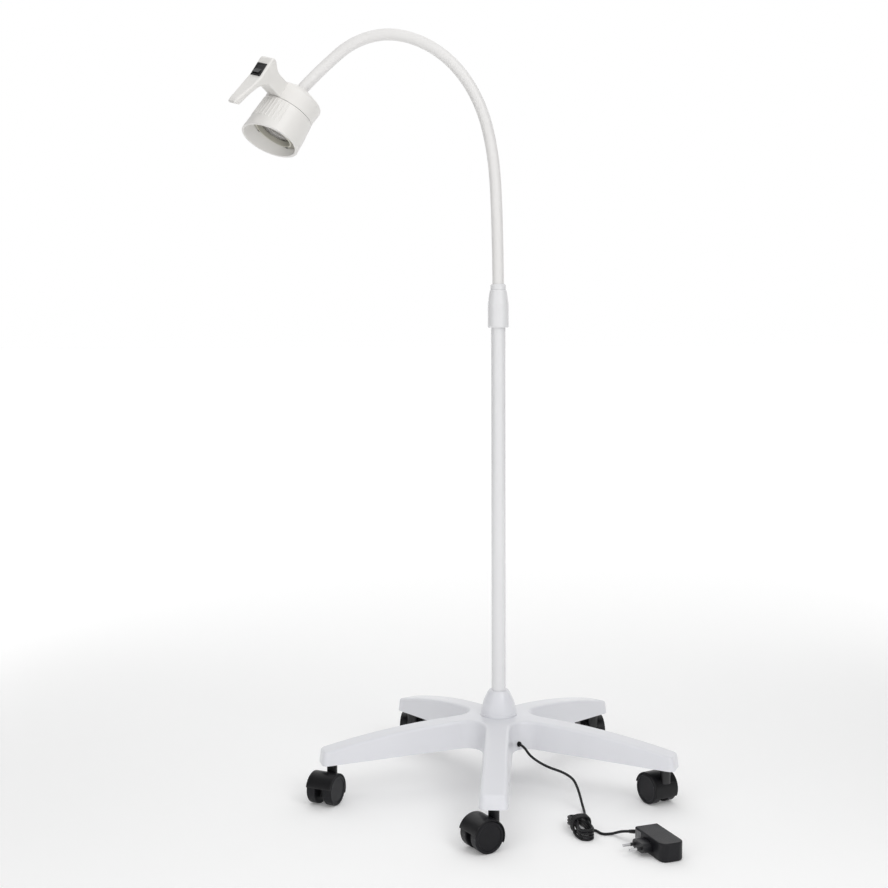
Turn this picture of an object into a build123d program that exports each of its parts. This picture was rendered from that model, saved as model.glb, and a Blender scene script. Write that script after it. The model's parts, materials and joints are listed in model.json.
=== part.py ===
from build123d import *
import math
import os

# Mobile LED examination lamp: a bright spotlight on a flexible arm, carried by
# a steel pole on a moulded five-arm base with twin-wheel castors.
# Millimetres, +Z up, the origin on the floor under the pole's axis.
# -Y is the front, where one arm of the base points, and the head hangs out to -X.

os.makedirs("parts", exist_ok=True)

# Base
ARM_COUNT = 5
FRONT_ARM_ANGLE = -91.5        # polar angle of the front arm
ARM_STEP = 360 / ARM_COUNT
STEM_CIRCLE = 270.0            # radius of the castor stems' circle
TIP_RADIUS = 288.0
ARM_TIP_HALF = 21.0
ARM_ROOT_HALF = 26.0
ARM_CORNER = 10.0
ARM_WEB_RADIUS = 26.0          # fillet between neighbouring arms, in plan
ARM_DRAFT = 7.0                # degrees, on every side wall
ARM_WALL = 4.0
ARM_EDGE = 5.0                 # rounding of the arms' top edges
TIP_BOTTOM_Z = 59.0
TIP_TOP_Z = 79.5
ARM_MID_RADIUS = 150.0
ARM_MID_TOP_Z = 106.0
HUB_BOTTOM_Z = 64.0            # underside of the boss round the pole
WEB_BOTTOM_Z = 74.0            # underside of the webs beside it
HUB_TOP_Z = 115.5
HUB_TOP_RADIUS = 34.0
RIB_RADII = (95.0, 145.0, 195.0, 240.0)
RIB_THICKNESS = 3.0
HUB_BOSS_RADIUS = 22.0
TIP_BOSS_RADIUS = 11.0

# Pole and what joins it
POLE_RADIUS = 11.3
POLE_WALL = 1.5
POLE_BOTTOM_Z = 67.5
POLE_TOP_Z = 768.5
INSERT_HEIGHT = 10.0
BOLT_RADIUS = 4.0
WASHER_RADIUS = 12.0
CONE_TOP_Z = 155.5
SLEEVE_BOTTOM_Z = 731.0
SLEEVE_TOP_Z = 789.5
FERRULE_TOP_Z = 798.5

# Flexible arm: straight links between ball joints, each leaning away from
# vertical by an angle towards the head's side
ARM_TUBE_RADIUS = 9.0
SIDE_JOINT_Z = 823.5
LINK_LENGTHS = (125.0, 60.0, 56.0, 54.0, 52.0, 52.0, 50.0, 52.0, 52.0)
LINK_LEANS = (1.4, 6.0, 13.5, 26.5, 42.0, 60.0, 80.0, 106.0, 130.0)
BALL_RADIUS = 7.0
BALL_CLEARANCE = 0.08
BALL_NECK_RADIUS = 4.0
LINK_FOOT = 8.0                # from a ball's centre to the tube above it
SOCKET_RIM = 1.5               # from a ball's centre to the rim that holds it
WIRE_BORE_RADIUS = 2.2

# Head: its own frame stands at the centre of the seam behind the focusing
# barrel, with Z forwards along the beam and X towards the handle
HEAD_CENTRE = (-321.6, -25.7, 1062.1)
HEAD_LEAN = 29.8               # beam away from straight down, towards -X
HEAD_TURN = 15.0               # beam towards the front
HANDLE_ANGLE = 28.0            # handle turned from straight uphill towards the front
CAP_RADIUS = 41.0
CAP_LENGTH = 27.0
CAP_DEPTH = 42.0               # seam to the end of the cap, where the arm enters
CAP_WALL = 2.6
SEAM_GAP = 0.4                 # half of the groove between cap and barrel
BARREL_LENGTH = 54.0           # along the axis; the mouth is cut at a slant
MOUTH_SLANT = 10.7
RIM_RADIUS = 45.5
BEZEL_FLOOR = 41.5
BEZEL_OUTER = 37.6
RING_OUTER = 31.0
LENS_RADIUS = 28.5
FOCUS_TRAVEL = 5.0
HANDLE_HALF = 14.0
HANDLE_TOP = 89.0              # outer face of the handle from the beam's axis

# Castors: local frame on the floor under the stem, X towards the trailing side
WHEEL_RADIUS = 23.3
WHEEL_WIDTH = 15.0
WHEEL_GAP = 13.0
CASTOR_TRAIL = 20.0
AXLE_RADIUS = 3.0
STEM_RADIUS = 5.5
STEM_TOP_Z = 75.5
HOOD_RADIUS = 25.8
RUNNING_FIT = 0.05
CASTOR_TRAIL_ANGLES = (-147.3, 122.7, 101.5, 84.0, -113.0)

# Low-voltage lead and its wall adapter
CORD_RADIUS = 2.0
EXIT_ANGLE = -57.0
EXIT_RADIUS = 57.5
EXIT_Z = 81.5
LEAD_HOLE_RADIUS = 3.0
GROMMET_RADIUS = 4.0
ADAPTER_CENTRE = (224.0, -285.5)
ADAPTER_ANGLE = -67.0          # direction of its long side
ADAPTER_LENGTH = 78.0
ADAPTER_WIDTH = 36.0
ADAPTER_HEIGHT = 27.0
PIN_SPACING = 19.0
PIN_LENGTH = 19.0
PIN_RADIUS = 2.0

CENTRED_UP = (Align.CENTER, Align.CENTER, Align.MIN)


def polar(radius, angle, z=0.0):
    """A point at a polar angle in degrees about the pole's axis."""
    turn = math.radians(angle)
    return Vector(radius * math.cos(turn), radius * math.sin(turn), z)


def finish(piece, node, place=Location()):
    """Moves a piece from its own frame to its place, labels it and writes it."""
    placed = piece.part.moved(place)
    placed.label = node
    export_step(placed, f"parts/{node}.step")
    return placed


# --- five-arm base ---------------------------------------------------------


def arm_star(tip_radius, tip_half, root_half, corner, web):
    """Plan of the base: five tapering arms with rounded ends and webs."""
    with BuildSketch() as star:
        with PolarLocations(0, ARM_COUNT, start_angle=FRONT_ARM_ANGLE):
            Polygon(
                (0, -root_half),
                (tip_radius, -tip_half),
                (tip_radius, tip_half),
                (0, root_half),
                align=None,
            )
        fillet(star.vertices().filter_by(lambda v: Vector(v).length < tip_radius / 2), web)
        fillet(star.vertices().filter_by(lambda v: Vector(v).length > tip_radius - 5), corner)
    return star.sketch


def arm_height(drop, lift):
    """Solid of revolution whose thickness is the arms' height at each radius."""
    gap = polar(1, FRONT_ARM_ANGLE + ARM_STEP / 2)
    with BuildPart() as height:
        with BuildSketch(Plane(origin=(0, 0, 0), x_dir=gap, z_dir=gap.cross(Vector(0, 0, 1)))):
            with BuildLine():
                Polyline(
                    (0, HUB_TOP_Z - drop),
                    (0, HUB_BOTTOM_Z - lift),
                    (HUB_BOSS_RADIUS, HUB_BOTTOM_Z - lift),
                    (HUB_BOSS_RADIUS + 6, WEB_BOTTOM_Z - lift),
                    (TIP_RADIUS, TIP_BOTTOM_Z - lift),
                    (TIP_RADIUS + 20, TIP_BOTTOM_Z - lift),
                    (TIP_RADIUS + 20, TIP_TOP_Z - drop - 6),
                )
                ThreePointArc(
                    (TIP_RADIUS + 20, TIP_TOP_Z - drop - 6),
                    (ARM_MID_RADIUS, ARM_MID_TOP_Z - drop),
                    (HUB_TOP_RADIUS, HUB_TOP_Z - drop),
                )
                Line((HUB_TOP_RADIUS, HUB_TOP_Z - drop), (0, HUB_TOP_Z - drop))
            make_face()
        revolve(axis=Axis.Z)
    return height.part


ROOF_DEPTH = 5.0
FLOOR_CUT = 15.0
with BuildPart() as hollow:
    with BuildSketch(Plane.XY.offset(TIP_BOTTOM_Z - 1)):
        add(
            arm_star(
                TIP_RADIUS - ARM_WALL,
                ARM_TIP_HALF - ARM_WALL,
                ARM_ROOT_HALF - ARM_WALL,
                ARM_CORNER - 1,
                ARM_WEB_RADIUS,
            )
        )
    extrude(amount=HUB_TOP_Z - TIP_BOTTOM_Z, taper=ARM_DRAFT)
    add(
        arm_height(ROOF_DEPTH, FLOOR_CUT),
        mode=Mode.INTERSECT,
    )
    with BuildSketch(Plane.XY):
        Circle(HUB_BOSS_RADIUS)
        with PolarLocations(STEM_CIRCLE, ARM_COUNT, start_angle=FRONT_ARM_ANGLE):
            Circle(TIP_BOSS_RADIUS)
        for rib_radius in RIB_RADII:
            with PolarLocations(rib_radius, ARM_COUNT, start_angle=FRONT_ARM_ANGLE):
                Rectangle(RIB_THICKNESS, 2 * ARM_ROOT_HALF)
    extrude(amount=HUB_TOP_Z, mode=Mode.SUBTRACT)

with BuildPart() as star_base:
    with BuildSketch(Plane.XY.offset(TIP_BOTTOM_Z - 1)):
        add(arm_star(TIP_RADIUS, ARM_TIP_HALF, ARM_ROOT_HALF, ARM_CORNER, ARM_WEB_RADIUS))
    extrude(amount=HUB_TOP_Z - TIP_BOTTOM_Z + 2, taper=ARM_DRAFT)
    add(arm_height(0, 0), mode=Mode.INTERSECT)
    arched = star_base.faces().filter_by(GeomType.REVOLUTION)
    hub_disc = star_base.faces().sort_by(Axis.Z)[-1]
    fillet(arched.edges() - hub_disc.edges(), ARM_EDGE)
    add(hollow.part, mode=Mode.SUBTRACT)
    # pole socket with the clamp bolt's hole under it
    with Locations((0, 0, POLE_BOTTOM_Z)):
        Cylinder(POLE_RADIUS, HUB_TOP_Z, align=CENTRED_UP, mode=Mode.SUBTRACT)
    Cylinder(BOLT_RADIUS + 0.2, HUB_TOP_Z, align=CENTRED_UP, mode=Mode.SUBTRACT)
    Cylinder(WASHER_RADIUS + 1, HUB_BOTTOM_Z, align=CENTRED_UP, mode=Mode.SUBTRACT)
    # a socket for each castor stem
    with PolarLocations(STEM_CIRCLE, ARM_COUNT, start_angle=FRONT_ARM_ANGLE):
        Cylinder(STEM_RADIUS + RUNNING_FIT, STEM_TOP_Z + 0.5,
                 align=CENTRED_UP, mode=Mode.SUBTRACT)
    # the lead's way in: grommet hole in the web, smaller hole through the boss
    with BuildSketch(Plane(origin=(0, 0, EXIT_Z), z_dir=polar(1, EXIT_ANGLE))):
        Circle(LEAD_HOLE_RADIUS)
    extrude(amount=EXIT_RADIUS, mode=Mode.SUBTRACT)
    with BuildSketch(Plane(origin=polar(40, EXIT_ANGLE, EXIT_Z), z_dir=polar(1, EXIT_ANGLE))):
        Circle(GROMMET_RADIUS)
    extrude(amount=40, mode=Mode.SUBTRACT)
finish(star_base, "star_base")

def turned(*points):
    """Solid of revolution about Z from (radius, height[, corner radius]) points."""
    with BuildPart() as solid:
        with BuildSketch(Plane.XZ):
            with BuildLine():
                FilletPolyline(
                    [point[:2] for point in points],
                    radius=[point[2] if len(point) > 2 else 0 for point in points],
                    close=True,
                )
            make_face()
        revolve(axis=Axis.Z)
    return solid


# --- pole and its fixings --------------------------------------------------

with BuildPart() as hub_cone:
    with BuildSketch(Plane.XZ):
        with BuildLine():
            Polyline(
                (25.5, HUB_TOP_Z),
                (29.0, HUB_TOP_Z),
                (29.0, HUB_TOP_Z + 2.5),
                (28.0, HUB_TOP_Z + 3.5),
            )
            ThreePointArc((28.0, HUB_TOP_Z + 3.5), (25.0, HUB_TOP_Z + 20), (17.5, CONE_TOP_Z - 3))
            Polyline(
                (17.5, CONE_TOP_Z - 3),
                (15.5, CONE_TOP_Z),
                (POLE_RADIUS, CONE_TOP_Z),
                (POLE_RADIUS, CONE_TOP_Z - 8),
            )
            ThreePointArc((POLE_RADIUS, CONE_TOP_Z - 8), (22.0, HUB_TOP_Z + 19), (25.5, HUB_TOP_Z))
        make_face()
    revolve(axis=Axis.Z)
finish(hub_cone, "hub_cone")

with BuildPart() as pole:
    with BuildSketch(Plane.XY.offset(POLE_BOTTOM_Z)):
        Circle(POLE_RADIUS)
        Circle(POLE_RADIUS - POLE_WALL, mode=Mode.SUBTRACT)
    extrude(amount=POLE_TOP_Z - POLE_BOTTOM_Z)
    with BuildSketch(Plane(origin=(0, 0, EXIT_Z), z_dir=polar(1, EXIT_ANGLE))):
        Circle(LEAD_HOLE_RADIUS)
    extrude(amount=2 * POLE_RADIUS, mode=Mode.SUBTRACT)
finish(pole, "pole")

with BuildPart() as pole_insert:
    with BuildSketch(Plane.XY.offset(POLE_BOTTOM_Z)):
        Circle(POLE_RADIUS - POLE_WALL)
        Circle(BOLT_RADIUS, mode=Mode.SUBTRACT)
    extrude(amount=INSERT_HEIGHT)
finish(pole_insert, "pole_insert")

WASHER_THICKNESS = 1.6
HEAD_HEIGHT = 5.3
with BuildPart() as pole_fasteners:
    # washer under the hub, then the hexagon bolt that clamps the pole down
    with BuildSketch(Plane.XY.offset(HUB_BOTTOM_Z - WASHER_THICKNESS)):
        Circle(WASHER_RADIUS)
        Circle(BOLT_RADIUS + 0.4, mode=Mode.SUBTRACT)
    extrude(amount=WASHER_THICKNESS)
    with BuildSketch(Plane.XY.offset(HUB_BOTTOM_Z - WASHER_THICKNESS - HEAD_HEIGHT)):
        RegularPolygon(6.5, 6, major_radius=False)
    extrude(amount=HEAD_HEIGHT)
    with BuildSketch(Plane.XY.offset(HUB_BOTTOM_Z - WASHER_THICKNESS)):
        Circle(BOLT_RADIUS)
    extrude(amount=POLE_BOTTOM_Z + INSERT_HEIGHT - 1 - HUB_BOTTOM_Z + WASHER_THICKNESS)
finish(pole_fasteners, "pole_fasteners")

coupling_sleeve = turned(
    (POLE_RADIUS, SLEEVE_BOTTOM_Z),
    (15.6, SLEEVE_BOTTOM_Z),
    (16.4, SLEEVE_BOTTOM_Z + 1.5),
    (16.4, SLEEVE_TOP_Z - 22),
    (13.6, SLEEVE_TOP_Z - 2),
    (12.6, SLEEVE_TOP_Z),
    (ARM_TUBE_RADIUS, SLEEVE_TOP_Z),
    (ARM_TUBE_RADIUS, POLE_TOP_Z),
    (POLE_RADIUS, POLE_TOP_Z),
)
finish(coupling_sleeve, "coupling_sleeve")

ferrule = turned(
    (ARM_TUBE_RADIUS, SLEEVE_TOP_Z),
    (11.6, SLEEVE_TOP_Z),
    (12.2, SLEEVE_TOP_Z + 1.2),
    (12.2, FERRULE_TOP_Z - 2.5),
    (10.6, FERRULE_TOP_Z),
    (ARM_TUBE_RADIUS, FERRULE_TOP_Z),
)
finish(ferrule, "arm_ferrule")

# --- flexible arm ----------------------------------------------------------


def arm_link(length, foot_ball=True):
    """One link: a ball at its foot, a tube, and a socket round the next ball."""
    start = LINK_FOOT if foot_ball else 0
    with BuildPart() as link:
        with Locations((0, 0, start)):
            Cylinder(ARM_TUBE_RADIUS, length + SOCKET_RIM - start, align=CENTRED_UP)
        if foot_ball:
            Sphere(BALL_RADIUS)
            Cylinder(BALL_NECK_RADIUS, LINK_FOOT + 1, align=CENTRED_UP)
        with Locations((0, 0, length)):
            Sphere(BALL_RADIUS + BALL_CLEARANCE, mode=Mode.SUBTRACT)
        Cylinder(WIRE_BORE_RADIUS, 3 * length, mode=Mode.SUBTRACT)
    return link


def lean_place(point, lean):
    """Frame of a link: Z along it, leaning from vertical towards -X."""
    turn = math.radians(lean)
    along = Vector(-math.sin(turn), 0, math.cos(turn))
    return Plane(origin=point, x_dir=Vector(0, 1, 0).cross(along), z_dir=along).location


finish(arm_link(SIDE_JOINT_Z - POLE_TOP_Z, foot_ball=False), "gooseneck_base",
       Location((0, 0, POLE_TOP_Z)))
joint_point = Vector(0, 0, SIDE_JOINT_Z)
for number, (length, lean) in enumerate(zip(LINK_LENGTHS, LINK_LEANS), start=1):
    finish(arm_link(length), f"gooseneck_link_{number}", lean_place(joint_point, lean))
    turn = math.radians(lean)
    joint_point += Vector(-math.sin(turn), 0, math.cos(turn)) * length

# --- head frame ------------------------------------------------------------

lean, swing = math.radians(HEAD_LEAN), math.radians(HEAD_TURN)
beam = Vector(-math.sin(lean) * math.cos(swing), -math.sin(swing),
              -math.cos(lean) * math.cos(swing))
level_way = Vector(0, 0, 1).cross(beam).normalized()
uphill = beam.cross(level_way)
spread = math.radians(HANDLE_ANGLE)
handle_way = uphill * math.cos(spread) + level_way * math.sin(spread)
HEAD_PLACE = Plane(origin=HEAD_CENTRE, x_dir=handle_way, z_dir=beam).location

# --- last stretch of the flexible arm, fixed in the head ---------------------

TIP_BEND = 2.0                 # bend's corner behind the cap
TIP_END_Z = -33.0              # where the arm ends inside the cap, head frame
entry_corner = Vector(*HEAD_CENTRE) - beam * (CAP_DEPTH + TIP_BEND)
inner_end = Vector(*HEAD_CENTRE) + beam * TIP_END_Z
first_way = (entry_corner - joint_point).normalized()
foot = joint_point + first_way * LINK_FOOT
with BuildPart() as gooseneck_tip:
    with BuildLine():
        FilletPolyline(foot, entry_corner, inner_end, radius=18.0)
    with BuildSketch(Plane(origin=foot, z_dir=first_way)):
        Circle(ARM_TUBE_RADIUS)
        Circle(WIRE_BORE_RADIUS, mode=Mode.SUBTRACT)
    sweep()
    with Locations(Plane(origin=joint_point, z_dir=first_way)):
        Sphere(BALL_RADIUS)
        Cylinder(BALL_NECK_RADIUS, LINK_FOOT + 1, align=CENTRED_UP)
        Cylinder(WIRE_BORE_RADIUS, 2 * LINK_FOOT + 6, mode=Mode.SUBTRACT)
finish(gooseneck_tip, "gooseneck_tip")

# --- head: cap with its handle ----------------------------------------------

CAP_INNER = CAP_RADIUS - CAP_WALL
NECK_SEAT_Z = -38.5
HANDLE_REAR_Z = -26.0
SWITCH_Z = -11.5               # middle of the switch along the handle
SWITCH_LENGTH = 22.0
SWITCH_WIDTH = 20.0
SWITCH_BODY = (18.6, 16.6, 14.0)
HANDLE_OUTLINE = (             # (from the axis, along the beam, corner radius)
    (34.0, -SEAM_GAP - 0.2, 0),
    (69.0, -SEAM_GAP - 0.2, 12),
    (82.0, 12.5, 20),
    (86.6, 29.0, 30),
    (91.0, 53.0, 3),
    (102.0, 58.0, 2.5),
    (101.2, 48.5, 30),
    (94.0, 22.0, 30),
    (HANDLE_TOP, 0.0, 12),
    (HANDLE_TOP, -36.5, 5),
    (81.0, -36.5, 4),
    (66.0, HANDLE_REAR_Z, 22),
    (34.0, HANDLE_REAR_Z, 0),
)

with BuildPart() as rear_housing:
    # handle, cut from its side outline and narrowed towards the tip
    with BuildSketch(Plane.XZ):
        with BuildLine():
            FilletPolyline(
                [point[:2] for point in HANDLE_OUTLINE],
                radius=[point[2] for point in HANDLE_OUTLINE],
                close=True,
            )
        make_face()
    extrude(amount=HANDLE_HALF, both=True)
    with BuildSketch(Plane.YZ):
        with BuildLine():
            FilletPolyline(
                (-HANDLE_HALF, -45),
                (HANDLE_HALF, -45),
                (HANDLE_HALF, 12),
                (HANDLE_HALF / 2, 62),
                (-HANDLE_HALF / 2, 62),
                (-HANDLE_HALF, 12),
                radius=(0, 0, 60, 6.9, 6.9, 60),
                close=True,
            )
        make_face()
    extrude(amount=120, mode=Mode.INTERSECT)
    fillet(
        rear_housing.edges().filter_by_position(Axis.X, 60, 120),
        3.0,
    )
    # cap, then everything hollow
    add(
        turned(
            (0, -SEAM_GAP),
            (CAP_RADIUS, -SEAM_GAP),
            (CAP_RADIUS + 2.5, -CAP_LENGTH, 7),
            (11.0, -CAP_DEPTH, 1.5),
            (0, -CAP_DEPTH),
        ).part
    )
    add(
        turned(
            (0, 0),
            (CAP_INNER - 0.2, 0),
            (CAP_INNER - 0.2, -10),
            (CAP_INNER - 0.5, -10),
            (CAP_INNER - 0.5, -CAP_LENGTH - 1, 3),
            (13.5, NECK_SEAT_Z),
            (0, NECK_SEAT_Z),
        ).part,
        mode=Mode.SUBTRACT,
    )
    with Locations((0, 0, -CAP_DEPTH - 5)):
        Cylinder(ARM_TUBE_RADIUS, 20, align=CENTRED_UP, mode=Mode.SUBTRACT)
    # pocket for the switch and the wires' way down to the cap
    with Locations((HANDLE_TOP, 0, SWITCH_Z)):
        Box(2 * SWITCH_BODY[2] + 2, SWITCH_BODY[1], SWITCH_BODY[0], mode=Mode.SUBTRACT)
    with BuildSketch(Plane(origin=(30, 0, SWITCH_Z), z_dir=(1, 0, 0))):
        Circle(3.0)
    extrude(amount=HANDLE_TOP - 30, mode=Mode.SUBTRACT)
finish(rear_housing, "rear_housing", HEAD_PLACE)

neck_nut = turned((ARM_TUBE_RADIUS, NECK_SEAT_Z), (12.8, NECK_SEAT_Z), (12.8, -35, 0.6),
                  (ARM_TUBE_RADIUS, -35))
finish(neck_nut, "neck_nut", HEAD_PLACE)

# --- head: switch ------------------------------------------------------------

FRAME_LIP = 1.6
ROCKER_PIVOT = (HANDLE_TOP - 1.0, 0, SWITCH_Z)
ROCKER_HALF = 7.9
ROCKER_WIDTH = 13.5
ROCKER_TILT = 10.0             # each way from level
with BuildPart() as switch_frame:
    with Locations((HANDLE_TOP + FRAME_LIP / 2, 0, SWITCH_Z)):
        Box(FRAME_LIP, SWITCH_WIDTH, SWITCH_LENGTH)
    fillet(switch_frame.faces().sort_by(Axis.X)[-1].edges(), 0.8)
    with Locations((HANDLE_TOP - SWITCH_BODY[2] / 2, 0, SWITCH_Z)):
        Box(SWITCH_BODY[2], SWITCH_BODY[1], SWITCH_BODY[0])
    with Locations((HANDLE_TOP - 2, 0, SWITCH_Z)):
        Box(10, ROCKER_WIDTH + 0.4, 17.2, mode=Mode.SUBTRACT)
finish(switch_frame, "switch_frame", HEAD_PLACE)

with BuildPart() as switch_rocker:
    # saddle-topped key, drawn level about its pivot with X outwards
    with BuildSketch(Plane.XZ):
        with BuildLine():
            Polyline((2.2, 0), (3.6, ROCKER_HALF), (-1.0, ROCKER_HALF - 0.4))
            ThreePointArc((-1.0, ROCKER_HALF - 0.4), (-3.8, 0), (-1.0, 0.4 - ROCKER_HALF))
            Polyline((-1.0, 0.4 - ROCKER_HALF), (3.6, -ROCKER_HALF), (2.2, 0))
        make_face()
    extrude(amount=ROCKER_WIDTH / 2, both=True)
finish(switch_rocker, "switch_rocker",
       HEAD_PLACE * Location(ROCKER_PIVOT, (0, ROCKER_TILT, 0)))

# --- head: lamp unit in the cap ------------------------------------------------

BOARD_SEAT_Z = -4.0
SINK_SHELF_Z = -13.0
SINK_CORE_RADIUS = 12.0
SINK_END_Z = -27.0
FIN_COUNT = 16
BOARD_RADIUS = 18.0
with BuildPart() as heat_sink:
    with Locations((0, 0, SINK_END_Z)):
        Cylinder(SINK_CORE_RADIUS, BOARD_SEAT_Z - SINK_END_Z, align=CENTRED_UP)
    with Locations((0, 0, SINK_SHELF_Z)):
        Cylinder(CAP_INNER - 0.5, 4, align=CENTRED_UP)
        Cylinder(BOARD_RADIUS, BOARD_SEAT_Z - SINK_SHELF_Z, align=CENTRED_UP)
    with PolarLocations(SINK_CORE_RADIUS - 1, FIN_COUNT):
        with Locations((0, 0, SINK_SHELF_Z)):
            Box(23, 1.6, 11, align=(Align.MIN, Align.CENTER, Align.MAX))
finish(heat_sink, "heat_sink", HEAD_PLACE)

led_board = turned((0, BOARD_SEAT_Z), (BOARD_RADIUS, BOARD_SEAT_Z), (BOARD_RADIUS, -2.4),
                   (0, -2.4))
finish(led_board, "led_board", HEAD_PLACE)

with BuildPart() as led_chip:
    with Locations((0, 0, -2.4)):
        Box(8, 8, 2.0, align=CENTRED_UP)
        Cylinder(3.0, 3.4, align=CENTRED_UP)
finish(led_chip, "led_chip", HEAD_PLACE)

reflector = turned((6, -2.4), (24.6, 30), (26, 30), (9, -2.4))
finish(reflector, "reflector", HEAD_PLACE)

driver_board = turned((0, SINK_END_Z - 1.6), (22, SINK_END_Z - 1.6), (22, SINK_END_Z),
                      (0, SINK_END_Z))
finish(driver_board, "driver_board", HEAD_PLACE)

# --- head: focusing barrel and what turns with it ------------------------------

COLLAR_RADIUS = CAP_INNER - 0.28
BARREL_BORE = 37.0
FLANGE_BORE = 32.6
BEZEL_BACK = BEZEL_FLOOR - 2.0
SCREW_CIRCLE = 34.6
RIB_SPREAD = 88.0              # grip ribs on both sides, this wide
RIBS_PER_SIDE = 12
RIB_LENGTH = 34.0
barrel_slope = math.degrees(math.atan2(RIM_RADIUS - CAP_RADIUS, BARREL_LENGTH))

with BuildPart() as focus_barrel:
    add(
        turned(
            (COLLAR_RADIUS - 2.2, -8),
            (COLLAR_RADIUS, -8),
            (COLLAR_RADIUS, SEAM_GAP),
            (CAP_RADIUS, SEAM_GAP),
            (RIM_RADIUS + 0.9, BARREL_LENGTH + 11),
            (RIM_RADIUS - 1.6, BARREL_LENGTH + 11),
            (BEZEL_OUTER + 0.4, BEZEL_FLOOR),
            (BEZEL_OUTER + 0.4, BEZEL_BACK),
            (FLANGE_BORE, BEZEL_BACK),
            (FLANGE_BORE, BEZEL_BACK - 4.5),
            (BARREL_BORE, BEZEL_BACK - 4.5),
            (BARREL_BORE, 4),
            (COLLAR_RADIUS - 2.2, 4),
        ).part
    )
    for middle_angle in (0, 180):
        with PolarLocations(
            CAP_RADIUS + 0.8,
            RIBS_PER_SIDE,
            start_angle=middle_angle - RIB_SPREAD / 2,
            angular_range=RIB_SPREAD,
            endpoint=True,
        ):
            with Locations(Location((0, 0, SEAM_GAP + RIB_LENGTH / 2 + 1), (0, barrel_slope, 0))):
                Cylinder(1.3, RIB_LENGTH)
    with PolarLocations(SCREW_CIRCLE, 4):
        with Locations((0, 0, BEZEL_BACK - 3.5)):
            Cylinder(1.3, 4, align=CENTRED_UP, mode=Mode.SUBTRACT)
    # slanting mouth, longest on its +Y side
    mouth = Plane(Location((0, 0, BARREL_LENGTH), (MOUTH_SLANT, 0, 0)))
    split(bisect_by=mouth, keep=Keep.BOTTOM)
    fillet(focus_barrel.faces().sort_by(Axis.Z)[-1].edges(), 0.7)
finish(focus_barrel, "focus_barrel", HEAD_PLACE)

with BuildPart() as front_bezel:
    with BuildSketch(Plane.XY.offset(BEZEL_BACK)):
        Circle(BEZEL_OUTER)
        Circle(RING_OUTER + 0.3, mode=Mode.SUBTRACT)
        with PolarLocations(SCREW_CIRCLE, 4):
            Circle(1.3, mode=Mode.SUBTRACT)
    extrude(amount=BEZEL_FLOOR - BEZEL_BACK)
finish(front_bezel, "front_bezel", HEAD_PLACE)

with BuildPart() as bezel_screws:
    with PolarLocations(SCREW_CIRCLE, 4):
        with Locations((0, 0, BEZEL_BACK - 3)):
            Cylinder(1.3, 6, align=CENTRED_UP)
        with Locations((0, 0, BEZEL_FLOOR)):
            Cylinder(2.2, 1.4, align=CENTRED_UP)
        with Locations((0, 0, BEZEL_FLOOR + 0.8)):
            Cylinder(1.0, 1, align=CENTRED_UP, mode=Mode.SUBTRACT)
finish(bezel_screws, "bezel_screws", HEAD_PLACE)

LENS_SEAT_Z = 34.0
CARRIER_BACK = 20.0
CARRIER_FRONT = 44.0
lens_carrier = turned(
    (LENS_RADIUS - 2, CARRIER_BACK),
    (LENS_RADIUS - 2, LENS_SEAT_Z),
    (LENS_RADIUS, LENS_SEAT_Z),
    (LENS_RADIUS, CARRIER_FRONT),
    (RING_OUTER, CARRIER_FRONT, 0.8),
    (RING_OUTER, CARRIER_BACK + 7),
    (BARREL_BORE - 0.07, CARRIER_BACK + 7),
    (BARREL_BORE - 0.07, CARRIER_BACK + 2),
    (RING_OUTER, CARRIER_BACK + 2),
    (RING_OUTER, CARRIER_BACK),
)
finish(lens_carrier, "lens_carrier", HEAD_PLACE)

with BuildPart() as lens:
    with BuildSketch(Plane.XZ):
        with BuildLine():
            Polyline((0, 42.5), (0, LENS_SEAT_Z), (LENS_RADIUS, LENS_SEAT_Z),
                     (LENS_RADIUS, LENS_SEAT_Z + 2.5))
            TangentArc((0, 42.5), (LENS_RADIUS, LENS_SEAT_Z + 2.5), tangent=(1, 0))
        make_face()
    revolve(axis=Axis.Z)
finish(lens, "lens", HEAD_PLACE)

# --- castors -------------------------------------------------------------------

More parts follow.
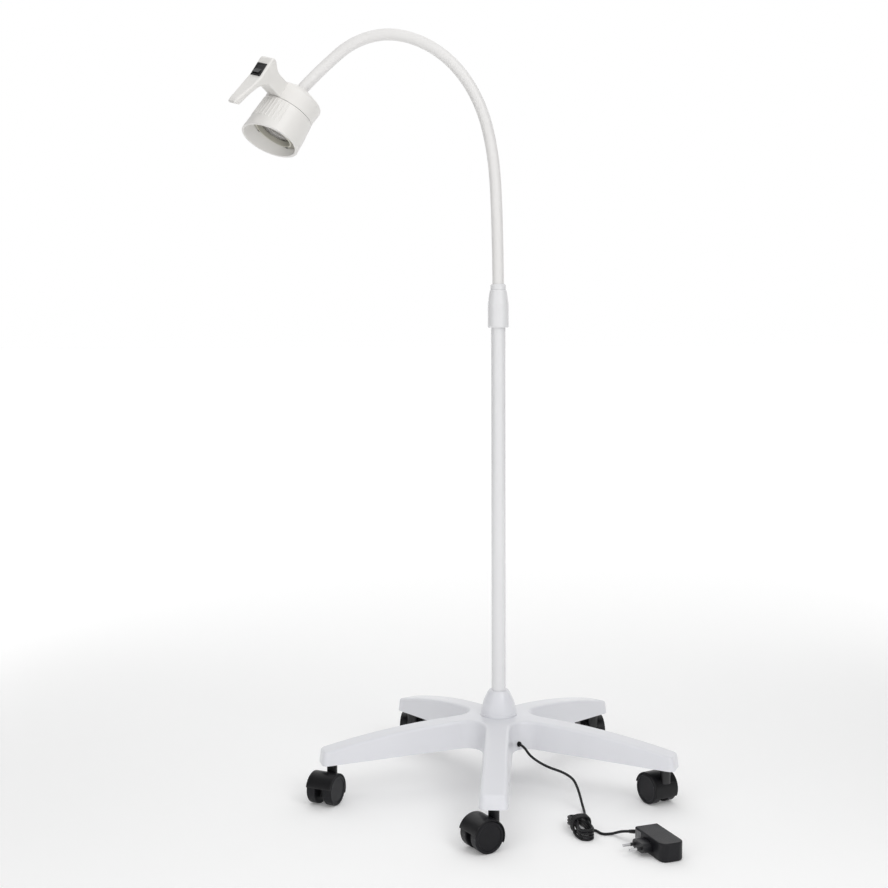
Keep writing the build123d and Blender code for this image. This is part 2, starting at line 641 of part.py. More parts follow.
ROOF_RADIUS = HOOD_RADIUS - 1.9
HOOD_HALF = WHEEL_GAP / 2 + WHEEL_WIDTH
WEB_HALF = WHEEL_GAP / 2 - 0.5
HOOD_TOP_Z = TIP_BOTTOM_Z - 0.3
BOSS_RADIUS = 8.0
STEM_FOOT_Z = 37.0
STEM_FOOT_RADIUS = 4.5
with BuildPart() as castor_hood:
    # roof over both wheels, open under the leading side and the trailing side
    with BuildSketch(Plane.XZ):
        with Locations((CASTOR_TRAIL, WHEEL_RADIUS)):
            Circle(HOOD_RADIUS)
            Polygon(
                (0, 0),
                (-81.6, -38.0),
                (30.8, -84.6),
                (86.9, 23.3),
                align=None,
                mode=Mode.SUBTRACT,
            )
    extrude(amount=HOOD_HALF, both=True)
    fillet(castor_hood.edges().filter_by(GeomType.CIRCLE), 1.2)
    # web between the wheels, arched on the trailing side
    with BuildSketch(Plane.XZ):
        with Locations((CASTOR_TRAIL, WHEEL_RADIUS)):
            Circle(ROOF_RADIUS + 1)
            with Locations((20, -6)):
                Circle(14, mode=Mode.SUBTRACT)
            with Locations((0, -30)):
                Rectangle(80, 36, mode=Mode.SUBTRACT)
    extrude(amount=WEB_HALF, both=True)
    with Locations((0, 0, 35)):
        Cylinder(BOSS_RADIUS, HOOD_TOP_Z - 35, align=CENTRED_UP)
    # room for the wheels, then the bores for the axle and the stem
    for face_y in (-WEB_HALF, WEB_HALF + 30):
        with BuildSketch(Plane.XZ.offset(-face_y)):
            with Locations((CASTOR_TRAIL, WHEEL_RADIUS)):
                Circle(ROOF_RADIUS)
        extrude(amount=30, mode=Mode.SUBTRACT)
    with BuildSketch(Plane.XZ):
        with Locations((CASTOR_TRAIL, WHEEL_RADIUS)):
            Circle(AXLE_RADIUS)
    extrude(amount=HOOD_HALF, both=True, mode=Mode.SUBTRACT)
    with Locations((0, 0, STEM_FOOT_Z)):
        Cylinder(STEM_FOOT_RADIUS, 40, align=CENTRED_UP, mode=Mode.SUBTRACT)

AXLE_HALF = WHEEL_GAP / 2 + 10
with BuildPart() as castor_pins:
    # swivel stem with its shoulder on the hood, and the axle
    with Locations((0, 0, STEM_FOOT_Z)):
        Cylinder(STEM_FOOT_RADIUS, HOOD_TOP_Z - STEM_FOOT_Z, align=CENTRED_UP)
    with Locations((0, 0, HOOD_TOP_Z)):
        Cylinder(STEM_RADIUS, STEM_TOP_Z - HOOD_TOP_Z, align=CENTRED_UP)
    with BuildSketch(Plane.XZ):
        with Locations((CASTOR_TRAIL, WHEEL_RADIUS)):
            Circle(AXLE_RADIUS)
    extrude(amount=AXLE_HALF, both=True)

castor_wheel = turned(
    (AXLE_RADIUS + RUNNING_FIT, 0),
    (WHEEL_RADIUS, 0, 2),
    (WHEEL_RADIUS, WHEEL_WIDTH, 2),
    (19.0, WHEEL_WIDTH, 0.6),
    (18.5, WHEEL_WIDTH - 1),
    (0, WHEEL_WIDTH - 1),
    (0, 10.4),
    (AXLE_RADIUS + RUNNING_FIT, 10.4),
)

for number, trail_angle in enumerate(CASTOR_TRAIL_ANGLES):
    name = ("front", "right", "rear_right", "rear_left", "left")[number]
    stem = polar(STEM_CIRCLE, FRONT_ARM_ANGLE + number * ARM_STEP)
    place = Location(stem, (0, 0, trail_angle))
    finish(castor_hood, f"castor_{name}_hood", place)
    finish(castor_pins, f"castor_{name}_pins", place)
    for side_name, side in (("left", 1), ("right", -1)):
        hub = Location((CASTOR_TRAIL, side * WHEEL_GAP / 2, WHEEL_RADIUS), (-90 * side, 0, 0))
        finish(castor_wheel, f"castor_{name}_wheel_{side_name}", place * hub)

# --- lead, hank and wall adapter -------------------------------------------------


def cord_tube(points, name):
    """Round cord along straight runs joined by the widest arcs that fit."""
    corners = [Vector(*point) for point in points]
    radii = []
    for before, corner, after in zip(corners, corners[1:], corners[2:]):
        run_in, run_out = corner - before, after - corner
        half_turn = math.radians(run_in.get_angle(run_out)) / 2
        radii.append(0.45 * min(run_in.length, run_out.length) / math.tan(half_turn))
    with BuildPart() as tube:
        with BuildLine() as route:
            FilletPolyline(corners, radius=radii)
        with BuildSketch(Plane(origin=corners[0], z_dir=corners[1] - corners[0])):
            Circle(CORD_RADIUS)
        sweep()
    length = sum(edge.length for edge in route.edges())
    share = tube.part.volume / (math.pi * CORD_RADIUS**2 * length)
    runs = [round((b - a).length, 1) for a, b in zip(corners, corners[1:])]
    print(name, "radii", [round(radius, 1) for radius in radii])
    print(name, "runs", runs, "length", round(length, 1), "volume share", round(share, 4))
    return tube


grommet_face = EXIT_RADIUS + 2.0
GROMMET_INSIDE = 50.0
grommet_plane = Plane(origin=polar(GROMMET_INSIDE, EXIT_ANGLE, EXIT_Z),
                      z_dir=polar(1, EXIT_ANGLE))
with BuildPart() as cord_grommet:
    with BuildSketch(grommet_plane):
        Circle(GROMMET_RADIUS)
        Circle(CORD_RADIUS, mode=Mode.SUBTRACT)
    extrude(amount=grommet_face - GROMMET_INSIDE)
finish(cord_grommet, "cord_grommet")

# the lead inside: from the grommet to the pole's bore and up into the arm
LEAD_TURN = 8.0
LEAD_TOP_Z = 811.5
with BuildPart() as supply_lead:
    with BuildLine():
        FilletPolyline(
            polar(grommet_face, EXIT_ANGLE, EXIT_Z),
            Vector(0, 0, EXIT_Z),
            Vector(0, 0, LEAD_TOP_Z),
            radius=LEAD_TURN,
        )
    with BuildSketch(Plane(origin=polar(grommet_face, EXIT_ANGLE, EXIT_Z),
                           z_dir=polar(-1, EXIT_ANGLE))):
        Circle(CORD_RADIUS)
    sweep()
finish(supply_lead, "supply_lead")

HANK_CENTRE = (118.3, -211.6)
HANK_ANGLE = -74.8             # direction of its long side
HANK_LENGTH = 72.0
LEAD_ROUTE = (
    tuple(polar(grommet_face, EXIT_ANGLE, EXIT_Z)),
    tuple(polar(grommet_face + 12, EXIT_ANGLE, EXIT_Z)),
    (47.6, -68.0, 69.5),
    (62.9, -74.0, 60.0),
    (79.7, -80.0, 53.5),
    (93.4, -84.0, 50.5),
    (104.8, -87.0, 45.8),
    (114.2, -91.0, 39.9),
    (119.2, -96.0, 31.5),
    (123.1, -105.8, 21.5),
    (127.0, -116.2, 7.1),
    (129.3, -133.9, 2.0),
    (127.9, -154.1, 2.0),
    (124.9, -170.0, 4.5),
    (120.4, -187.8, 9.0),
)
power_cord = cord_tube(LEAD_ROUTE, "power_cord")
finish(power_cord, "power_cord")

with BuildPart() as cord_hank:
    # folded turns lying flat, tied by wraps round the middle
    with BuildSketch(Plane.XY):
        SlotOverall(HANK_LENGTH, 27)
    extrude(amount=19)
    fillet(cord_hank.edges().filter_by_position(Axis.Z, 18, 21), 7)
    fillet(cord_hank.edges().filter_by_position(Axis.Z, -1, 1), 6)
    with BuildSketch(Plane.YZ.offset(-10)):
        with Locations((0, 13.6)):
            RectangleRounded(30, 27.2, 9)
    extrude(amount=20)
finish(cord_hank, "cord_hank", Location((*HANK_CENTRE, 0), (0, 0, HANK_ANGLE)))

ADAPTER_PLACE = Location((*ADAPTER_CENTRE, 0), (0, 0, ADAPTER_ANGLE))
PLUG_CENTRE = -3.5             # along the adapter's long side
PLUG_WIDTH = 33.0
PLUG_HEIGHT = 14.0
PLUG_DEPTH = 14.0
PIN_Z = 12.5
PIN_PLACES = (PLUG_CENTRE - PIN_SPACING / 2, PLUG_CENTRE + PIN_SPACING / 2)
with BuildPart() as adapter_case:
    with BuildSketch(Plane.XY):
        Rectangle(ADAPTER_LENGTH, ADAPTER_WIDTH)
        fillet(vertices().filter_by_position(Axis.X, 30, 50), 11)
        fillet(vertices().filter_by_position(Axis.X, -50, -30), 2)
    extrude(amount=ADAPTER_HEIGHT)
    fillet(adapter_case.faces().sort_by(Axis.Z)[-1].edges(), 1.6)
    fillet(adapter_case.faces().sort_by(Axis.Z)[0].edges(), 3)
    with BuildSketch(Plane.XZ.offset(ADAPTER_WIDTH / 2)):
        with Locations((PLUG_CENTRE, PIN_Z)):
            SlotOverall(PLUG_WIDTH, PLUG_HEIGHT)
    extrude(amount=PLUG_DEPTH)
    with BuildSketch(Plane.XZ.offset(ADAPTER_WIDTH / 2 + PLUG_DEPTH)):
        for along in PIN_PLACES:
            with Locations((along, PIN_Z)):
                Circle(PIN_RADIUS)
    extrude(amount=-8, mode=Mode.SUBTRACT)
finish(adapter_case, "adapter_case", ADAPTER_PLACE)

with BuildPart() as adapter_pins:
    with BuildSketch(Plane.XZ.offset(ADAPTER_WIDTH / 2 + PLUG_DEPTH - 8)):
        for along in PIN_PLACES:
            with Locations((along, PIN_Z)):
                Circle(PIN_RADIUS)
    extrude(amount=PIN_LENGTH + 8)
    tips = adapter_pins.faces().sort_by(Axis.Y)[:2]
    fillet(tips.edges(), 1.2)
finish(adapter_pins, "adapter_pins", ADAPTER_PLACE)

RELIEF_LENGTH = 16.0
RELIEF_MOUTH = (197.6, -255.0, 18.5)
relief_way = Vector(-0.75, 0.66, -0.22).normalized()
with BuildPart() as adapter_relief:
    with BuildSketch(Plane(origin=Vector(*RELIEF_MOUTH) - relief_way * 3, z_dir=relief_way)):
        Circle(3.6)
    with BuildSketch(Plane(origin=Vector(*RELIEF_MOUTH) + relief_way * RELIEF_LENGTH,
                           z_dir=relief_way)):
        Circle(2.5)
    loft()
finish(adapter_relief, "adapter_relief")

relief_end = Vector(*RELIEF_MOUTH) + relief_way * RELIEF_LENGTH
before_relief = relief_end + relief_way * 10
TAIL_ROUTE = (
    (133.8, -217.1, 5.5),
    (148.7, -221.5, 2.0),
    (162.6, -220.0, 2.0),
    (171.0, -225.5, 6.5),
    tuple(before_relief),
    tuple(relief_end),
)
cord_tail = cord_tube(TAIL_ROUTE, "cord_tail")
finish(cord_tail, "cord_tail")
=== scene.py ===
import json
import math

import bmesh
import bpy
from mathutils import Matrix, Vector


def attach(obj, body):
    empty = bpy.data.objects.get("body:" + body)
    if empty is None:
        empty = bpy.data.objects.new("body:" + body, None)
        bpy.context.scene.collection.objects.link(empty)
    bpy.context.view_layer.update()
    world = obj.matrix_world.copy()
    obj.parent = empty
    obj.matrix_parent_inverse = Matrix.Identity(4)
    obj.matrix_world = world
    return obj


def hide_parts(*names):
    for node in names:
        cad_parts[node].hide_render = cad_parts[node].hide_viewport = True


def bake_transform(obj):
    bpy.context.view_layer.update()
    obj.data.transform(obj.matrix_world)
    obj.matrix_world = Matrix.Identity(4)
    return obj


# Examination lamp. Positions are metres in the frame of the CAD model:
# Z up from the floor, X to the right, Y away from the camera.

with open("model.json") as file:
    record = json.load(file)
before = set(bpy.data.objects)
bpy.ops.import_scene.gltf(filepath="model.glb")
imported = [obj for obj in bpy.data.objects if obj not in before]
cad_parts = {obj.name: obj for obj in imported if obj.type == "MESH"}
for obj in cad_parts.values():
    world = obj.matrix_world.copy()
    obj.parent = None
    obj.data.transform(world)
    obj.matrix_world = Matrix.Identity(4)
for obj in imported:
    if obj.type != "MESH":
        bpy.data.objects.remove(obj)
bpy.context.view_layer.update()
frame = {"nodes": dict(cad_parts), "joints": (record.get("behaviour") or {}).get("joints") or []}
nodes = frame["nodes"]
MM = 0.001


# ---------------------------------------------------------------- camera

camera_data = bpy.data.cameras.new("camera")
camera_data.lens = 56.757
camera_data.sensor_width = 36.0
camera_data.clip_end = 50.0
camera = bpy.data.objects.new("camera", camera_data)
bpy.context.scene.collection.objects.link(camera)
camera.matrix_world = (
    Matrix.Translation((0.0, -2.1953, 0.7323))
    @ Matrix.Rotation(math.radians(2.233), 4, "Z")
    @ Matrix.Rotation(math.radians(90.0 - 4.776), 4, "X")
    @ Matrix.Rotation(math.radians(-0.257), 4, "Z")
)
bpy.context.scene.camera = camera


# ---------------------------------------------------------------- helpers

def link(obj):
    bpy.context.scene.collection.objects.link(obj)
    return obj


def mesh_object(name, verts, faces):
    mesh = bpy.data.meshes.new(name)
    mesh.from_pydata([tuple(v) for v in verts], [], faces)
    mesh.update()
    mesh.shade_smooth()
    return link(bpy.data.objects.new(name, mesh))


def tube_faces(rings, sides):
    """Quads between rings of vertices, each ring listed after the one before it."""
    faces = []
    for ring in range(rings):
        for side in range(sides):
            following = (side + 1) % sides
            faces.append((ring * sides + side, ring * sides + following,
                          (ring + 1) * sides + following, (ring + 1) * sides + side))
    return faces


def frame_along(direction, hint):
    """Two unit vectors square to a direction, the first as near hint as it can be."""
    direction = direction.normalized()
    first = (hint - direction * hint.dot(direction)).normalized()
    return first, direction.cross(first)


# ---------------------------------------------------------------- materials

def material(name):
    mat = bpy.data.materials.new(name)
    mat.use_nodes = True
    return mat, mat.node_tree.nodes, mat.node_tree.links, mat.node_tree.nodes["Principled BSDF"]


def moulded(name, colour, roughness=0.4, grain=900.0, bump=0.05, mottle=0.03, coat=0.0,
            metallic=0.0, specular=0.5, edge_highlight=0.0, orange_peel=0.0):
    """Moulded, painted or rubber surface: fine grain, uneven gloss, faint colour drift and an
    optional painted highlight along edges.
    """
    mat, tree, links, shader = material(name)
    coords = tree.new("ShaderNodeTexCoord")
    drift = tree.new("ShaderNodeTexNoise")
    drift.inputs["Scale"].default_value = 9.0
    drift.inputs["Detail"].default_value = 4.0
    links.new(coords.outputs["Object"], drift.inputs["Vector"])
    ramp = tree.new("ShaderNodeValToRGB")
    ramp.color_ramp.elements[0].position = 0.3
    ramp.color_ramp.elements[1].position = 0.7
    low = [max(0.0, c * (1.0 - mottle)) for c in colour]
    high = [min(1.0, c * (1.0 + mottle)) for c in colour]
    ramp.color_ramp.elements[0].color = (*low, 1.0)
    ramp.color_ramp.elements[1].color = (*high, 1.0)
    links.new(drift.outputs["Fac"], ramp.inputs["Fac"])
    colour_out = ramp.outputs["Color"]
    if edge_highlight:
        # painted highlight: convex edges and ridges mixed lighter than the faces, in place of the
        # sheen they catch
        geometry = tree.new("ShaderNodeNewGeometry")
        edge = tree.new("ShaderNodeMapRange")
        edge.inputs["From Min"].default_value = 0.52
        edge.inputs["From Max"].default_value = 0.62
        links.new(geometry.outputs["Pointiness"], edge.inputs["Value"])
        amount = tree.new("ShaderNodeMath")
        amount.operation = "MULTIPLY"
        amount.inputs[1].default_value = edge_highlight
        links.new(edge.outputs["Result"], amount.inputs[0])
        mix = tree.new("ShaderNodeMixRGB")
        mix.inputs["Color2"].default_value = (1.0, 1.0, 1.0, 1.0)
        links.new(amount.outputs["Value"], mix.inputs["Fac"])
        links.new(colour_out, mix.inputs["Color1"])
        colour_out = mix.outputs["Color"]
    links.new(colour_out, shader.inputs["Base Color"])
    gloss = tree.new("ShaderNodeTexNoise")
    gloss.inputs["Scale"].default_value = 38.0
    gloss.inputs["Detail"].default_value = 5.0
    links.new(coords.outputs["Object"], gloss.inputs["Vector"])
    spread = tree.new("ShaderNodeMapRange")
    spread.inputs["To Min"].default_value = max(0.02, roughness - 0.06)
    spread.inputs["To Max"].default_value = min(1.0, roughness + 0.06)
    links.new(gloss.outputs["Fac"], spread.inputs["Value"])
    links.new(spread.outputs["Result"], shader.inputs["Roughness"])
    grains = tree.new("ShaderNodeTexNoise")
    grains.inputs["Scale"].default_value = grain
    grains.inputs["Detail"].default_value = 3.0
    links.new(coords.outputs["Object"], grains.inputs["Vector"])
    fine = tree.new("ShaderNodeBump")
    fine.inputs["Strength"].default_value = bump
    fine.inputs["Distance"].default_value = 0.0002
    links.new(grains.outputs["Fac"], fine.inputs["Height"])
    if orange_peel:
        peel = tree.new("ShaderNodeTexNoise")
        peel.inputs["Scale"].default_value = 130.0
        links.new(coords.outputs["Object"], peel.inputs["Vector"])
        wavy = tree.new("ShaderNodeBump")
        wavy.inputs["Strength"].default_value = orange_peel
        wavy.inputs["Distance"].default_value = 0.0004
        links.new(peel.outputs["Fac"], wavy.inputs["Height"])
        links.new(fine.outputs["Normal"], wavy.inputs["Normal"])
        links.new(wavy.outputs["Normal"], shader.inputs["Normal"])
    else:
        links.new(fine.outputs["Normal"], shader.inputs["Normal"])
    shader.inputs["Metallic"].default_value = metallic
    shader.inputs["Specular IOR Level"].default_value = specular
    shader.inputs["Coat Weight"].default_value = coat
    shader.inputs["Coat Roughness"].default_value = 0.12
    return mat


WHITE_BASE = moulded("white_base", (0.75, 0.755, 0.79), roughness=0.30, grain=1400, bump=0.05,
                     mottle=0.012, coat=0.25, orange_peel=0.04)
# white_head's last amount paints a highlight along its edges and the barrel's ridges
WHITE_HEAD = moulded("white_head", (0.80, 0.785, 0.76), roughness=0.36, grain=1800, bump=0.05,
                     mottle=0.012, edge_highlight=0.05)
WHITE_PAINT = moulded("white_paint", (0.78, 0.78, 0.79), roughness=0.24, grain=500, bump=0.02,
                      mottle=0.008, coat=0.35, orange_peel=0.05)
WHITE_SLEEVE = moulded("white_sleeve", (0.79, 0.78, 0.77), roughness=0.40, grain=160, bump=0.01,
                       mottle=0.015)
BEZEL_GREY = moulded("bezel_grey", (0.40, 0.385, 0.34), roughness=0.55, grain=1500, bump=0.12,
                     mottle=0.05)
RING_CREAM = moulded("ring_cream", (0.60, 0.58, 0.50), roughness=0.4, grain=1500, bump=0.08,
                     mottle=0.03)
# the hood, wheel and case take a painted highlight along their edges and rims from their last amount
BLACK_HOOD = moulded("black_hood", (0.005, 0.005, 0.006), roughness=0.38, grain=1300, bump=0.18,
                     mottle=0.25, specular=0.26, edge_highlight=0.03)
BLACK_WHEEL = moulded("black_wheel", (0.005, 0.005, 0.007), roughness=0.42, grain=1000, bump=0.2,
                      mottle=0.25, specular=0.24, edge_highlight=0.035)
BLACK_CASE = moulded("black_case", (0.006, 0.006, 0.008), roughness=0.40, grain=2600, bump=0.35,
                     mottle=0.2, specular=0.28, edge_highlight=0.05)
BLACK_SWITCH = moulded("black_switch", (0.014, 0.014, 0.015), roughness=0.33, grain=2000,
                       bump=0.1, mottle=0.2)
BLACK_LEAD = moulded("black_lead", (0.006, 0.006, 0.007), roughness=0.42, grain=700, bump=0.15,
                     mottle=0.2, specular=0.3)
LABEL_GREY = moulded("label_grey", (0.16, 0.16, 0.165), roughness=0.5, grain=900, bump=0.05,
                     mottle=0.05)
STEEL = moulded("steel", (0.56, 0.56, 0.57), roughness=0.3, grain=400, bump=0.05, mottle=0.04,
                metallic=1.0)
DARK_STEEL = moulded("dark_steel", (0.10, 0.10, 0.10), roughness=0.4, grain=400, bump=0.05,
                     mottle=0.1, metallic=0.9)
SINK = moulded("sink_aluminium", (0.6, 0.6, 0.62), roughness=0.42, grain=300, bump=0.1,
               mottle=0.05, metallic=1.0)
BOARD = moulded("board", (0.62, 0.66, 0.6), roughness=0.5, grain=900, bump=0.05, mottle=0.05)
PHOSPHOR = moulded("phosphor", (0.75, 0.62, 0.16), roughness=0.35, grain=900, bump=0.05,
                   mottle=0.06)
MIRROR = moulded("reflector_mirror", (0.12, 0.11, 0.10), roughness=0.2, grain=250, bump=0.03,
                 mottle=0.02, metallic=1.0)


def lens_glass():
    mat, tree, links, shader = material("lens_glass")
    shader.inputs["Base Color"].default_value = (0.42, 0.40, 0.38, 1.0)
    shader.inputs["Roughness"].default_value = 0.03
    shader.inputs["IOR"].default_value = 1.49
    shader.inputs["Transmission Weight"].default_value = 1.0
    coords = tree.new("ShaderNodeTexCoord")
    ripple = tree.new("ShaderNodeTexNoise")
    ripple.inputs["Scale"].default_value = 60.0
    links.new(coords.outputs["Object"], ripple.inputs["Vector"])
    bump = tree.new("ShaderNodeBump")
    bump.inputs["Strength"].default_value = 0.02
    bump.inputs["Distance"].default_value = 0.0003
    links.new(ripple.outputs["Fac"], bump.inputs["Height"])
    links.new(bump.outputs["Normal"], shader.inputs["Normal"])
    return mat


LENS = lens_glass()


def dress(node, mat):
    obj = nodes[node]
    if not obj.material_slots:
        obj.data.materials.append(mat)
    for index in range(len(obj.material_slots)):
        obj.material_slots[index].material = mat
    return obj


for node in nodes:
    if node.startswith("castor"):
        if node.endswith("pins"):
            dress(node, STEEL)
        else:
            dress(node, BLACK_HOOD if node.endswith("hood") else BLACK_WHEEL)
for names, mat in (
    (("star_base", "hub_cone"), WHITE_BASE),
    (("pole", "arm_ferrule", "coupling_sleeve"), WHITE_PAINT),
    (("rear_housing", "focus_barrel"), WHITE_HEAD),
    (("front_bezel",), BEZEL_GREY),
    (("lens_carrier",), RING_CREAM),
    (("bezel_screws",), DARK_STEEL),
    (("lens",), LENS),
    (("reflector",), MIRROR),
    (("led_board", "driver_board"), BOARD),
    (("led_chip",), PHOSPHOR),
    (("heat_sink",), SINK),
    (("neck_nut", "pole_insert", "pole_fasteners", "adapter_pins"), STEEL),
    (("switch_frame", "switch_rocker"), BLACK_SWITCH),
    (("adapter_case",), BLACK_CASE),
    (("cord_grommet", "supply_lead", "adapter_relief"), BLACK_LEAD),
):
    for node in names:
        dress(node, mat)


# ---------------------------------------------------------------- adapter details

ADAPTER_CENTRE = (0.224, -0.2855, 0.0)
ADAPTER_TURN = math.radians(-67.0)
PIN_HEIGHT = 12.5  # the plug pins above the floor, in millimetres
PIN_PLACES = {"left": -13.0, "right": 6.0}  # along the case, in millimetres
adapter_place = (
    Matrix.Translation(ADAPTER_CENTRE) @ Matrix.Rotation(ADAPTER_TURN, 4, "Z")
)


def bar(name, low, high, rounding, mat):
    """Box with rounded edges in the adapter's own frame, in millimetres."""
    mesh = bmesh.new()
    bmesh.ops.create_cube(mesh, size=1.0)
    for vert in mesh.verts:
        for axis in range(3):
            vert.co[axis] = high[axis] if vert.co[axis] > 0 else low[axis]
    bmesh.ops.bevel(mesh, geom=mesh.edges[:], offset=rounding, segments=2, affect="EDGES")
    data = bpy.data.meshes.new(name)
    bmesh.ops.scale(mesh, vec=(MM, MM, MM), verts=mesh.verts)
    bmesh.ops.transform(mesh, matrix=adapter_place, verts=mesh.verts)
    mesh.to_mesh(data)
    mesh.free()
    data.shade_smooth()
    obj = link(bpy.data.objects.new(name, data))
    obj.data.materials.append(mat)
    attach(obj, "base")
    return obj


def pin_sleeve(name, along):
    """Insulated root of a plug pin, with a rounded front edge."""
    outline = ((1.9, -31.0), (2.35, -31.0), (2.35, -39.0), (2.2, -39.5), (1.9, -39.6))
    sides = 28
    verts = []
    for radius, out in outline:
        for side in range(sides):
            angle = 2 * math.pi * side / sides
            height = PIN_HEIGHT + radius * math.sin(angle)
            point = Vector((along + radius * math.cos(angle), out, height))
            verts.append(adapter_place @ (point * MM))
    obj = mesh_object(name, verts, tube_faces(len(outline) - 1, sides))
    obj.data.materials.append(BLACK_CASE)
    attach(obj, "base")
    return obj


adapter_label = bar("adapter_label", (-37.0, -18.25, 5.0), (-21.0, -17.9, 24.0), 0.12,
                    LABEL_GREY)
plug_sleeves = [pin_sleeve(f"plug_sleeve_{side}", along) for side, along in PIN_PLACES.items()]


# ---------------------------------------------------------------- lead

# The lead's places are millimetres.
HANK_CENTRE = (118.3, -211.6)
HANK_ANGLE = math.radians(-74.8)
EXIT_ANGLE = math.radians(-57.0)
EXIT_RADIUS = 59.5
EXIT_HEIGHT = 81.5
LEAD_RADIUS = 2.0


def exit_line(radius):
    return (radius * math.cos(EXIT_ANGLE), radius * math.sin(EXIT_ANGLE), EXIT_HEIGHT)


def hank_point(along, across, height):
    c, s = math.cos(HANK_ANGLE), math.sin(HANK_ANGLE)
    return (HANK_CENTRE[0] + along * c - across * s, HANK_CENTRE[1] + along * s + across * c, height)


def lead_points():
    points = [
        exit_line(EXIT_RADIUS),
        exit_line(71.5),
        (47.6, -68.0, 69.5),
        (62.9, -74.0, 60.0),
        (79.7, -80.0, 53.5),
        (93.4, -84.0, 50.5),
        (104.8, -87.0, 45.8),
        (114.2, -91.0, 39.9),
        (119.2, -96.0, 31.5),
        (123.1, -105.8, 21.5),
        (127.0, -116.2, 7.1),
        (129.3, -133.9, 2.0),
        (127.9, -154.1, 2.0),
        (125.4, -170.0, 7.0),
        hank_point(-31.0, 15.5, 14.0),
    ]
    # flat oval turns, each lying on the next, lifted and drawn in at the waist
    turn = (
        (-22, 10.5, 0), (-7, 7.3, 1), (7, 7.3, 1), (22, 10.5, 0), (31, 8.5, 0), (35.5, 0, 0),
        (31, -8.5, 0), (22, -10.5, 0), (7, -7.3, 1), (-7, -7.3, 1), (-22, -10.5, 0),
        (-31, -8.5, 0), (-35.5, 0, 0), (-31, 8.5, 0),
    )
    layers = 4
    for layer in range(layers - 1, -1, -1):
        for index, (along, across, waist) in enumerate(turn):
            if layer == 0 and index > 7:
                break
            drop = 1.1 * max(0, index - 10)
            height = 7.3 + 4.2 * layer if waist else 2.2 + 4.4 * layer - drop
            points.append(hank_point(along, across, height))
    # three wraps that tie the waist
    points.append(hank_point(13, -12.5, 3.5))
    sides, wraps = 14, 3
    for index in range(wraps * sides - 5):
        angle = math.radians(200.0) - 2 * math.pi * index / sides
        c, s = math.cos(angle), math.sin(angle)
        points.append(hank_point(
            6.5 - 13.2 * index / (wraps * sides),
            13.4 * math.copysign(abs(c) ** 0.7, c),
            13.8 + 12.0 * math.copysign(abs(s) ** 0.7, s),
        ))
    points += [
        hank_point(-6.3, 14.0, 8.0),
        hank_point(-5.5, 16.0, 3.8),
        hank_point(-2.0, 20.0, 2.0),
        hank_point(4.0, 24.0, 2.0),
        (148.7, -222.0, 2.0),
        (162.6, -220.0, 2.0),
        (171.0, -225.5, 6.5),
        (178.54, -238.22, 12.91),
        (185.87, -244.68, 15.06),
    ]
    return points


lead_curve = bpy.data.curves.new("power_lead", "CURVE")
lead_curve.dimensions = "3D"
lead_curve.bevel_depth = LEAD_RADIUS * MM
lead_curve.bevel_resolution = 5
lead_curve.resolution_u = 10
lead_curve.use_fill_caps = True
route = lead_points()
spline = lead_curve.splines.new("NURBS")
spline.points.add(len(route) - 1)
for point, place in zip(spline.points, route):
    point.co = (place[0] * MM, place[1] * MM, place[2] * MM, 1.0)
spline.order_u = 3
spline.use_endpoint_u = True
lead = link(bpy.data.objects.new("power_lead", lead_curve))
lead.data.materials.append(BLACK_LEAD)
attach(lead, "base")
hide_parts("power_cord", "cord_hank", "cord_tail")


# ---------------------------------------------------------------- flexible arm

joints = {joint["name"]: joint for joint in frame["joints"]}
ARM_JOINTS = ["gooseneck_side"] + [
    f"gooseneck_bend_{index}" for index in range(1, 9)
] + ["head_aim"]
ARM_BODIES = ["base"] + [f"arm_{index}" for index in range(1, 10)] + ["head"]
ARM_RADIUS = 9.0 * MM
SLEEVE_TOP_Z = 789.5 * MM  # where the flexible arm leaves the coupling sleeve
TIP_CORNER = 44.0 * MM  # back along the beam from the head's centre, where the arm turns in
TIP_END = 37.0 * MM  # back along the beam, inside the cap
BEND_SHARE = 0.92  # how far the near and far points sit from a joint towards its section's ends
HEAD_FIRST = (7, 8)  # sections whose near and far points are swapped


def head_axis():
    joint = joints["focus_turn"]
    return Vector(joint["pos_m"]), Vector(joint["axis"])


def sleeve_section(name, start, corner, end, rings=22, sides=40):
    """Smooth tube that leaves start towards corner and arrives at end from corner."""
    verts = []
    for ring in range(rings + 1):
        t = ring / rings
        centre = start * (1 - t) ** 2 + corner * 2 * t * (1 - t) + end * t * t
        way = (corner - start) * (1 - t) + (end - corner) * t
        first, second = frame_along(way, Vector((0, 1, 0)))
        for side in range(sides):
            angle = 2 * math.pi * side / sides
            verts.append(centre + (first * math.cos(angle) + second * math.sin(angle)) * ARM_RADIUS)
    obj = mesh_object(name, verts, tube_faces(rings, sides))
    obj.data.materials.append(WHITE_SLEEVE)
    return obj


head_centre, beam = head_axis()
arm_start = Vector((0.0, 0.0, SLEEVE_TOP_Z))
tip_corner = head_centre - beam * TIP_CORNER
tip_end = head_centre - beam * TIP_END
arm_points = [Vector(joints[name]["pos_m"]) for name in ARM_JOINTS]
halfway = [(a + b) / 2 for a, b in zip(arm_points, arm_points[1:])]
starts = [arm_start] + halfway
ends = halfway + [(arm_points[-1] + tip_corner) / 2]
for index, corner in enumerate(arm_points):
    body_a, body_b = ARM_BODIES[index], ARM_BODIES[index + 1]
    piece = sleeve_section(f"arm_sleeve_{index}", starts[index], corner, ends[index])
    near = (body_a, corner.lerp(starts[index], BEND_SHARE))
    far = (body_b, corner.lerp(ends[index], BEND_SHARE))
    if index in HEAD_FIRST:
        near, far = far, near
    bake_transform(piece)
    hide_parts(f"gooseneck_link_{index}" if index else "gooseneck_base")
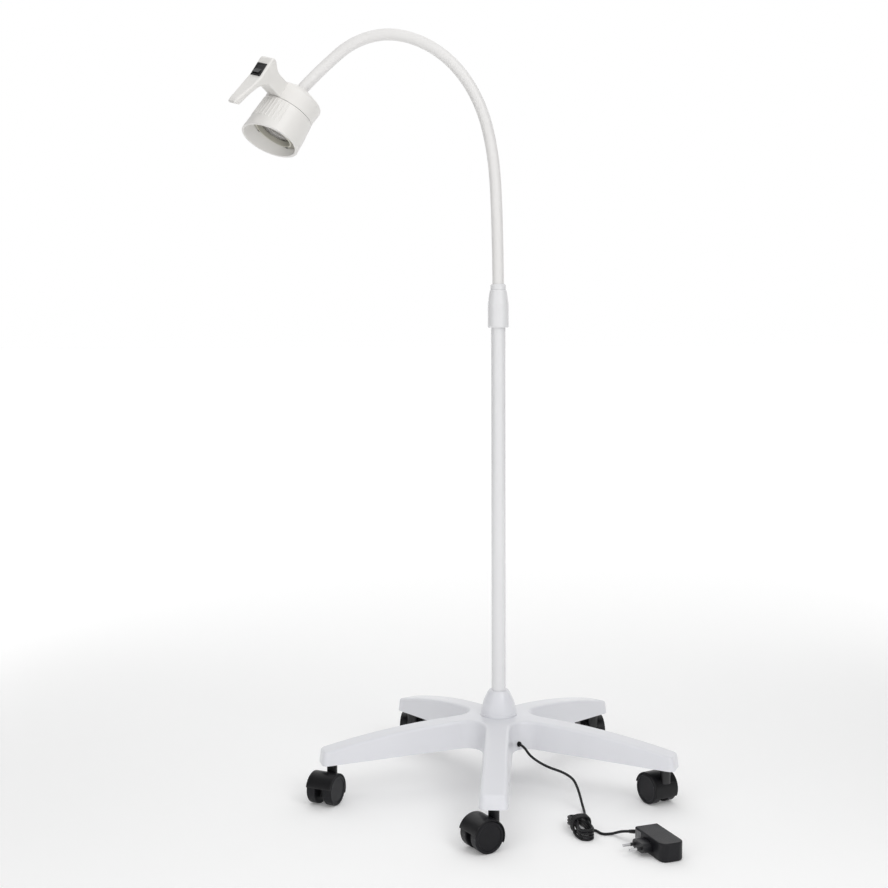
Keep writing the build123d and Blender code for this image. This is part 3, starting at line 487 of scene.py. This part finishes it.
tip = sleeve_section("arm_sleeve_tip", ends[-1], tip_corner, tip_end)
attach(tip, "head")
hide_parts("gooseneck_tip")


# ---------------------------------------------------------------- stage and light

SQUARE = [(0, 1, 2, 3)]
floor = mesh_object("floor", [(-30, -6, 0), (30, -6, 0), (30, 60, 0), (-30, 60, 0)], SQUARE)
floor_mat, tree, links, shader = material("floor_paper")
shader.inputs["Base Color"].default_value = (0.95, 0.95, 0.95, 1.0)
shader.inputs["Roughness"].default_value = 0.95
shader.inputs["Specular IOR Level"].default_value = 0.1
shader.inputs["Emission Color"].default_value = (1.0, 1.0, 1.0, 1.0)
shader.inputs["Emission Strength"].default_value = 0.09
floor.data.materials.append(floor_mat)

world = bpy.data.worlds.new("studio")
bpy.context.scene.world = world
world.use_nodes = True
background = world.node_tree.nodes["Background"]
background.inputs["Color"].default_value = (1.0, 1.0, 1.0, 1.0)
background.inputs["Strength"].default_value = 1.0


def area_light(name, place, target, size, power):
    data = bpy.data.lights.new(name, "AREA")
    data.shape = "RECTANGLE"
    data.size = size[0]
    data.size_y = size[1]
    data.energy = power
    lamp = link(bpy.data.objects.new(name, data))
    lamp.location = place
    lamp.rotation_euler = (Vector(target) - Vector(place)).to_track_quat("-Z", "Y").to_euler()
    return lamp


area_light("key", (1.9, -2.4, 2.8), (0, 0, 0.6), (1.5, 1.5), 22)
area_light("fill", (-2.4, -1.8, 1.4), (0, 0, 0.6), (1.0, 1.6), 3)

# dark screens beside the lamp, never seen themselves, that shade its white sides
screen_mat, tree, links, shader = material("screen_cloth")
shader.inputs["Base Color"].default_value = (0.22, 0.22, 0.22, 1.0)
shader.inputs["Roughness"].default_value = 1.0
for name, x in (("screen_left", -1.25), ("screen_right", 1.25)):
    corners = [(x, -1.0, 0.3), (x, 0.9, 0.3), (x, 0.9, 2.2), (x, -1.0, 2.2)]
    screen = mesh_object(name, corners, SQUARE)
    screen.data.materials.append(screen_mat)
    screen.visible_camera = False
bpy.context.scene.view_settings.view_transform = "Standard"
